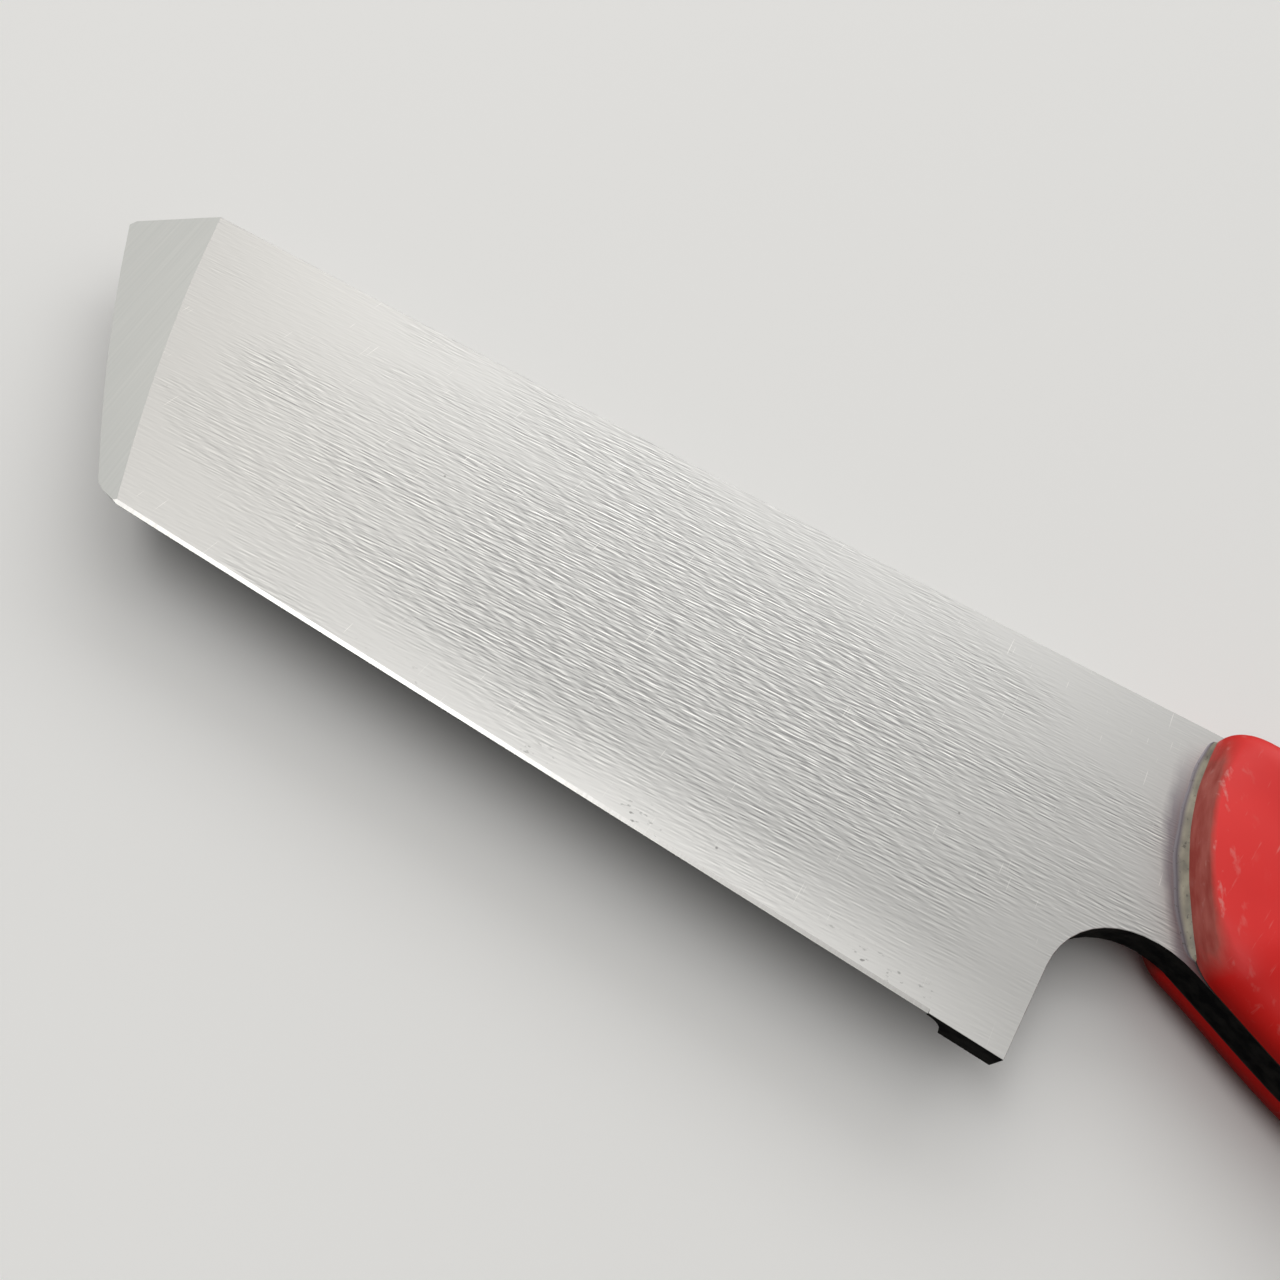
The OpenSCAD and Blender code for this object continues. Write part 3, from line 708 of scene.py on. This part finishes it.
# %% Red body and dull wall of the laminate
red, tree, shader, where = start_material("waxed_red_laminate")
cloud = grains(tree, where, (9.0, 9.0, 9.0), detail=3.0)
even = add(tree, "ShaderNodeMapRange", {"Value": cloud, "From Min": 0.3, "From Max": 0.7})
body = add(tree, "ShaderNodeMix", {
    SHARE: even.outputs[0], COLOUR_A: linear("#E8150F"), COLOUR_B: linear("#F01C15")}, data_type="RGBA")
dull_share = add(tree, "ShaderNodeAttribute", attribute_name="dull_wall").outputs["Fac"]
ragged = add(tree, "ShaderNodeMath", {0: grains(tree, where, (1.6, 1.6, 0.7), detail=4.0), 1: 0.7},
             operation="ADD")
dull = add(tree, "ShaderNodeMath", {0: dull_share, 1: ragged.outputs[0]},
           operation="MULTIPLY", use_clamp=True)
dust = add(tree, "ShaderNodeMapRange", {"Value": grains(tree, where, (2.0, 4.0, 0.8), detail=3.0),
                                        "From Min": 0.35, "From Max": 0.65})
grime = add(tree, "ShaderNodeMix", {
    SHARE: dust.outputs[0], COLOUR_A: linear("#A6433A"), COLOUR_B: linear("#BA6056")}, data_type="RGBA")
walled = add(tree, "ShaderNodeMix", {
    SHARE: dull.outputs[0], COLOUR_A: body.outputs[MIXED], COLOUR_B: grime.outputs[MIXED]}, data_type="RGBA")
print("started", red.name)

# %% [markdown]
# Use leaves pale chips where the front edge gets knocked, scuffs and small specks elsewhere, and
# hairlines all over. Chips follow the field of wear. Worn places are paler and more matte than the waxed
# ones, and the hairlines vary the gloss and give a slight bump.

# %% Wear on the laminate
laminate_ior, speck_spacing = 1.44, 8.0
lip_share = add(tree, "ShaderNodeAttribute", attribute_name="worn_lip").outputs["Fac"]
chips = add(tree, "ShaderNodeMapRange", {"Value": grains(tree, where, (0.9, 2.2, 0.9), 12.0, detail=4.0),
                                         "From Min": 0.6, "From Max": 0.72, "To Max": 0.6})
worn = add(tree, "ShaderNodeMath", {0: chips.outputs[0], 1: lip_share}, operation="MULTIPLY", use_clamp=True)
scuffs = add(tree, "ShaderNodeMapRange", {"Value": grains(tree, where, (4.0, 0.4, 2.0), 74.0, detail=3.0),
                                          "From Min": 0.66, "From Max": 0.78, "To Max": 0.25})
specks = add(tree, "ShaderNodeTexVoronoi", {"Vector": where, "Scale": 1 / (speck_spacing * MM)})
speckled = add(tree, "ShaderNodeMapRange", {"Value": specks.outputs["Distance"], "From Min": 0.025,
                                            "From Max": 0.055, "To Min": 0.6, "To Max": 0.0})
marks = add(tree, "ShaderNodeMath", {0: scuffs.outputs[0], 1: speckled.outputs[0]}, operation="MAXIMUM")
pale = add(tree, "ShaderNodeMath", {0: worn.outputs[0], 1: marks.outputs[0]}, operation="MAXIMUM")
colour = add(tree, "ShaderNodeMix", {
    SHARE: pale.outputs[0], COLOUR_A: walled.outputs[MIXED], COLOUR_B: linear("#E8BDB4")}, data_type="RGBA")
hairlines = grains(tree, where, (6.0, 0.3, 3.0), -28.0, detail=3.0)
matte = add(tree, "ShaderNodeMath", {0: dull.outputs[0], 1: pale.outputs[0]}, operation="MAXIMUM")
rough = add(tree, "ShaderNodeMapRange", {"Value": matte.outputs[0], "To Min": 0.36, "To Max": 0.68})
uneven = add(tree, "ShaderNodeMath", {0: hairlines, 1: 0.12, 2: rough.outputs[0]}, operation="MULTIPLY_ADD")
heights = add(tree, "ShaderNodeMix", {SHARE: 0.5, NUMBER_A: hairlines, NUMBER_B: cloud})
bump = add(tree, "ShaderNodeBump", {"Height": heights.outputs[MIXED_NUMBER], "Strength": 0.25,
                                    "Distance": 0.05 * MM})
fill(tree, shader, {"IOR": laminate_ior, "Base Color": colour.outputs[MIXED], "Roughness": uneven.outputs[0],
                    "Normal": bump.outputs[0]})
print("made", red.name)

# %% [markdown]
# Both scales come from the same functions, one with its cheek up and one with its cheek down. The right
# one starts a little further forward. The flat cheek and the flat bonded face are filled in between the
# outer rim and the rims of the bores.

# %% Make both scales
def add_scale(name, x0, base_height, upwards, node):
    """A scale whose bonded face lies at base_height and whose cheek points up (1) or down (-1)."""
    points, faces, dull, worn = scale_surface(x0)
    points[:, 2] = base_height + upwards * points[:, 2]
    ends = [(base_height + upwards * height) * MM for height in (0.0, scale_t)]
    mesh = closed_mesh(name, place(points), faces, filled_heights=ends, dull_wall=dull, worn_lip=worn)
    return add_piece(name, mesh, "red_scale", [node], red)


add_scale("left_handle_scale", handle_front, z_scale, 1, "left_scale")
add_scale("right_handle_scale", handle_front - right_lead, z_base, -1, "right_scale")

# %% [markdown]
# Glue squeezed out along the front of each scale and was wiped into a hollow fillet. It is cloudy resin,
# between grey and straw in colour, with dust set in it. Where it thins out at its foot the steel shows
# through, so the foot is coloured and shines like steel under a skin; its purple-grey is also painted shade
# and reflection of the handle on the steel. A field of depth on the bead's points tells thick from thin.

# %% Cloudy resin
resin, tree, shader, where = start_material("cloudy_set_resin")
depth = add(tree, "ShaderNodeAttribute", attribute_name="resin_depth").outputs["Fac"]
cloud = grains(tree, where, (1.6, 3.0, 1.5), detail=3.0)
tint = add(tree, "ShaderNodeMapRange", {"Value": cloud, "From Min": 0.32, "From Max": 0.68})
body = add(tree, "ShaderNodeMix", {
    SHARE: tint.outputs[0], COLOUR_A: linear("#716B5E"), COLOUR_B: linear("#A9A28C")}, data_type="RGBA")
veil = add(tree, "ShaderNodeMapRange", {"Value": depth, "From Max": 0.1})
# The foot's purple-grey is partly painted shade and reflection of the handle on the steel.
shaded_foot = add(tree, "ShaderNodeMix", {
    SHARE: veil.outputs[0], COLOUR_A: linear("#888489"), COLOUR_B: linear("#625C61")}, data_type="RGBA")
thick = add(tree, "ShaderNodeMapRange", {"Value": depth, "From Min": 0.12, "From Max": 0.45})
skin = add(tree, "ShaderNodeMix", {
    SHARE: thick.outputs[0], COLOUR_A: shaded_foot.outputs[MIXED], COLOUR_B: body.outputs[MIXED]}, data_type="RGBA")
dust = add(tree, "ShaderNodeMapRange", {"Value": grains(tree, where, (0.35, 0.6, 0.5), detail=3.0),
                                        "From Min": 0.62, "From Max": 0.7, "To Max": 0.7})
colour = add(tree, "ShaderNodeMix", {
    SHARE: dust.outputs[0], COLOUR_A: skin.outputs[MIXED], COLOUR_B: linear("#4A443A")}, data_type="RGBA")
bare = add(tree, "ShaderNodeMapRange", {"Value": thick.outputs[0], "To Min": 0.85, "To Max": 0.0})
rough = add(tree, "ShaderNodeMapRange", {"Value": cloud, "To Min": 0.28, "To Max": 0.46})
bump = add(tree, "ShaderNodeBump", {"Height": cloud, "Strength": 0.2, "Distance": 0.03 * MM})
fill(tree, shader, {"Base Color": colour.outputs[MIXED], "Metallic": bare.outputs[0],
                    "Roughness": rough.outputs[0], "Normal": bump.outputs[0]})
print("made", resin.name)

# %% [markdown]
# The fillet is a hollow profile carried along the front of a scale. A real bead is never even, so two
# sine waves swell and shrink it a little, and it closes at both ends. It widens from the spine to the
# notch, as the glue ran down.

# %% Seal beads along the fronts
bead_w_top, bead_w_low, bead_h = 0.7, 1.8, 0.6
bead_skip, bead_columns = 10, 12
wave_turns, wave_ratio, long_wave, short_wave = 12, 2.7, 0.08, 0.05
hollow_power, end_power = 1.7, 8


def bead_grid(x0, phase):
    """Grid of a bead: row i is a hollow fillet at path point i, of height h * (1 - q)^hollow_power at the
    share q of its width. Both swell by 1 + long_wave * sin(u) + short_wave * sin(wave_ratio * u), and
    sqrt(1 - e^end_power) closes both ends, with e from -1 to 1."""
    path = front_path(x0)[bead_skip:-bead_skip]
    share = path[:, 1] / underside(x0)
    u = wave_turns * share + phase
    e = np.linspace(-1, 1, len(path))
    swell = 1 + long_wave * np.sin(u) + short_wave * np.sin(wave_ratio * u)
    swell = swell * np.sqrt(np.clip(1 - e**end_power, 0, 1))
    width = (bead_w_top + (bead_w_low - bead_w_top) * share) * swell / (1 + long_wave + short_wave)
    height = np.minimum(bead_h * swell, film_t + rim_wall)
    q = np.linspace(1, 0, bead_columns)
    section = np.vstack([[0.0, 0.0], np.column_stack([q, (1 - q) ** hollow_power])])
    x = path[:, 0, None] - section[None, :, 0] * width[:, None]
    y = np.broadcast_to(path[:, 1, None], x.shape)
    depth = np.broadcast_to(section[None, :, 1], x.shape)
    return np.stack([x, y, section[None, :, 1] * height[:, None]], axis=-1), depth


def add_bead(name, x0, base_height, upwards, node, phase):
    """A bead that stands on the steel at base_height and points up (1) or down (-1)."""
    grid, depth = bead_grid(x0, phase)
    points = grid.reshape(-1, 3)
    points[:, 2] = base_height + upwards * points[:, 2]
    mesh = closed_mesh(name, place(points), grid_faces(*depth.shape), sharp_angle=60,
                       resin_depth=depth.ravel())
    return add_piece(name, mesh, "bead", [node], resin)


add_bead("left_resin_bead", handle_front, z_left, 1, "left_seal_bead", 0.4)
add_bead("right_resin_bead", handle_front - right_lead, z_right, -1, "right_seal_bead", 2.1)

# %% [markdown]
# The film of glue under each scale shows only as a thin line around the handle. Its solid already has the
# right shape, so it stays and gets a finish of its own: the same resin, thinner and browner.

# %% Resin film around the seams
film, tree, shader, where = start_material("thin_brown_resin_film")
cloud = grains(tree, where, (3.0, 3.0, 3.0), detail=3.0)
colour = add(tree, "ShaderNodeMix", {
    SHARE: cloud, COLOUR_A: linear("#231C18"), COLOUR_B: linear("#40372D")}, data_type="RGBA")
rough = add(tree, "ShaderNodeMapRange", {"Value": cloud, "To Min": 0.3, "To Max": 0.5})
fill(tree, shader, {"Base Color": colour.outputs[MIXED], "Roughness": rough.outputs[0]})
for name in ("left_bond_film", "right_bond_film"):
    nodes[name].data.materials.clear()
    nodes[name].data.materials.append(film)
print("made", film.name)

# %% [markdown]
# The rivets are stainless steel, ground flush with the scales on a belt, so their faces carry its lines
# along the handle. The lines are a plain stretched noise, because the heads are too small for waves to
# show.

# %% Ground stainless steel
rivet_steel, tree, shader, where = start_material("flush_ground_stainless")
lines = grains(tree, where, (4.0, 0.16, 4.0), -6.0, detail=3.0)
haze = grains(tree, where, (2.5, 2.5, 2.5))
tone = add(tree, "ShaderNodeMix", {SHARE: 0.2, NUMBER_A: lines, NUMBER_B: haze})
bright = add(tree, "ShaderNodeMapRange", {"Value": tone.outputs[MIXED_NUMBER], "From Min": 0.3,
                                          "From Max": 0.7})
colour = add(tree, "ShaderNodeMix", {
    SHARE: bright.outputs[0], COLOUR_A: linear("#A3A3A2"), COLOUR_B: linear("#D6D6D4")}, data_type="RGBA")
rough = add(tree, "ShaderNodeMapRange", {"Value": lines, "To Min": 0.42, "To Max": 0.26})
bump = add(tree, "ShaderNodeBump", {"Height": lines, "Strength": 0.25, "Distance": 0.015 * MM})
fill(tree, shader, {"Metallic": 1.0, "Base Color": colour.outputs[MIXED], "Roughness": rough.outputs[0],
                    "Normal": bump.outputs[0]})
print("made", rivet_steel.name)

# %% [markdown]
# Each rivet is two turned pieces: a post with a head, and a sleeve with a head that the post is pressed
# into. Both are profiles turned about the rivet's axis, with the heads' rims slightly eased by a quarter
# of a circle.

# %% Posts and sleeves of the rivets
post_r, post_gap, end_gap, head_ease = 1.6, 0.02, 0.3, 0.12
quarter = np.linspace(0, np.pi / 2, 6)
eased = np.column_stack([head_r - head_ease + head_ease * np.sin(quarter), head_ease * (1 - np.cos(quarter))])
post_profile = np.vstack([[0.0, z_top], np.column_stack([eased[:, 0], z_top - eased[:, 1]]),
                          [head_r, z_top - head_t], [post_r, z_top - head_t],
                          [post_r, head_t + end_gap], [0.0, head_t + end_gap]])
sleeve_end = z_top - head_t - end_gap
sleeve_profile = np.vstack([[0.0, 0.0], eased, [head_r, head_t], [sleeve_r, head_t], [sleeve_r, sleeve_end],
                            [post_r + post_gap, sleeve_end], [post_r + post_gap, head_t], [0.0, head_t]])
for place_name, x, y in zip(("front", "middle", "rear"), rivet_x, rivet_y):
    for part, profile in (("post", post_profile), ("sleeve", sleeve_profile)):
        name = f"{place_name}_turned_{part}"
        mesh = closed_mesh(name, place(turned(profile, x, y, bore_sides)),
                           grid_faces(len(profile), bore_sides))
        add_piece(name, mesh, "rivet_steel", [f"{place_name}_rivet_{part}"], rivet_steel)

# %% [markdown]
# The knife lies on a plain pale floor. The floor is pale to the camera, but to all other rays it is a
# darker grey, so that it throws less light back up under the handle.

# %% Floor
floor_half = 4.0
floor_mesh = bpy.data.meshes.new("floor")
floor_mesh.from_pydata([(-floor_half, -floor_half, 0), (floor_half, -floor_half, 0),
                        (floor_half, floor_half, 0), (-floor_half, floor_half, 0)], [], [(0, 1, 2, 3)])
floor = bpy.data.objects.new("floor", floor_mesh)
bpy.context.scene.collection.objects.link(floor)
pale_floor, tree, shader, where = start_material("pale_matte_floor")
ray = add(tree, "ShaderNodeLightPath")
colour = add(tree, "ShaderNodeMix", {
    SHARE: ray.outputs["Is Camera Ray"], COLOUR_A: linear("#5C5B59"), COLOUR_B: linear("#FBFAF7")},
    data_type="RGBA")
fill(tree, shader, {"Roughness": 0.85, "Base Color": colour.outputs[MIXED]})
floor_mesh.materials.append(pale_floor)
print("floor is", 2 * floor_half, "m wide")

# %% [markdown]
# Four lamps make the soft studio light. A broad one overhead and another behind the spine are large, so
# their reflections in the satin steel have no edges. A narrow one is there for the edge, and a weak warm
# one for the tip.

# %% Lamps
def add_softbox(name, place_at, width, depth, radiance, tint):
    """A rectangular lamp aimed at the knife, of power radiance * pi * area: radiance 1 reflects as white."""
    lamp = bpy.data.lights.new(name, "AREA")
    lamp.color = linear(tint)[:3]
    lamp.shape, lamp.size, lamp.size_y = "RECTANGLE", width, depth
    lamp.energy = radiance * math.pi * width * depth
    softbox = bpy.data.objects.new(name, lamp)
    softbox.location = place_at
    softbox.rotation_euler = (Vector((0, 0, 0)) - Vector(place_at)).to_track_quat("-Z", "Y").to_euler()
    bpy.context.scene.collection.objects.link(softbox)
    print(name, "gives", round(lamp.energy, 2), "W")


add_softbox("overhead_softbox", (-0.4, -0.2, 0.95), 1.1, 0.34, 2.4, "#FFFFFF")
add_softbox("edge_softbox", (-0.12, 0.45, 0.95), 0.9, 0.2, 0.5, "#FFFFFF")
add_softbox("spine_softbox", (-0.13, 1.06, 0.75), 1.5, 0.5, 1.4, "#FFFFFF")
add_softbox("tip_softbox", (-0.69, 0.54, 0.82), 0.55, 0.5, 0.3, "#FFF0DA")

# %% [markdown]
# The world is a room with its windows on one side: pale behind the spine and darker in front of the edge,
# so that the underside falls into shade. Mirrored rays see a paler room than scattered ones, because bare
# steel shows it directly, and the camera itself sees a plain pale backdrop.

# %% World
world = bpy.data.worlds.new("studio")
bpy.context.scene.world = world
world.use_nodes = True
tree = world.node_tree
tree.nodes.clear()
ray = add(tree, "ShaderNodeLightPath")
bounced = add(tree, "ShaderNodeMath", {0: ray.outputs["Is Glossy Ray"],
                                       1: ray.outputs["Is Transmission Ray"]}, operation="MAXIMUM")
towards = add(tree, "ShaderNodeSeparateXYZ", {0: add(tree, "ShaderNodeTexCoord").outputs["Generated"]})
behind = add(tree, "ShaderNodeMapRange", {"Value": towards.outputs["Y"], "From Min": -0.55, "From Max": 0.45})
lit = add(tree, "ShaderNodeMapRange", {"Value": behind.outputs[0], "To Min": 0.06, "To Max": 0.8})
mirrored = add(tree, "ShaderNodeMapRange", {"Value": behind.outputs[0], "To Min": 0.4, "To Max": 0.82})
ambient = add(tree, "ShaderNodeBackground", {"Color": linear("#F2F2F2"), "Strength": lit.outputs[0]})
mirror = add(tree, "ShaderNodeBackground", {"Color": linear("#F4F3F1"), "Strength": mirrored.outputs[0]})
shown = add(tree, "ShaderNodeBackground", {"Color": linear("#F1F0EE"), "Strength": 0.85})
light = add(tree, "ShaderNodeMixShader", {0: bounced.outputs[0], 1: ambient.outputs[0], 2: mirror.outputs[0]})
sky = add(tree, "ShaderNodeMixShader", {0: ray.outputs["Is Camera Ray"], 1: light.outputs[0],
                                        2: shown.outputs[0]})
add(tree, "ShaderNodeOutputWorld", {"Surface": sky.outputs[0]})
print("made the world", world.name)

# %% [markdown]
# The camera stands outside the cutting edge, near the middle of the blade, and looks down across it
# towards the spine. Its place is written from the heel and the steel's left face. Two directions, to its
# right and upwards, fix how it is turned, and their cross product points back from the view.

# %% Camera
view_from = place([-40.55, -81.59, z_left + 80.70])
view_right = Vector((0.8833, 0.4032, 0.2390))
view_up = Vector((-0.4671, 0.7137, 0.5221))
view_back = view_right.cross(view_up).normalized()
view_up = view_back.cross(view_right).normalized()
camera_data = bpy.data.cameras.new("camera")
camera_data.sensor_width, camera_data.lens = 36.0, 28.125
camera_data.clip_start, camera_data.clip_end = 0.005, 20.0
camera = bpy.data.objects.new("camera", camera_data)
axes = Matrix((view_right.normalized(), view_up, view_back)).transposed()
camera.matrix_world = Matrix.Translation(view_from) @ axes.to_4x4()
bpy.context.scene.collection.objects.link(camera)
bpy.context.scene.camera = camera
bpy.context.scene.view_settings.view_transform = "Standard"
print("camera at", np.round(np.array(view_from) / MM, 1), "mm")
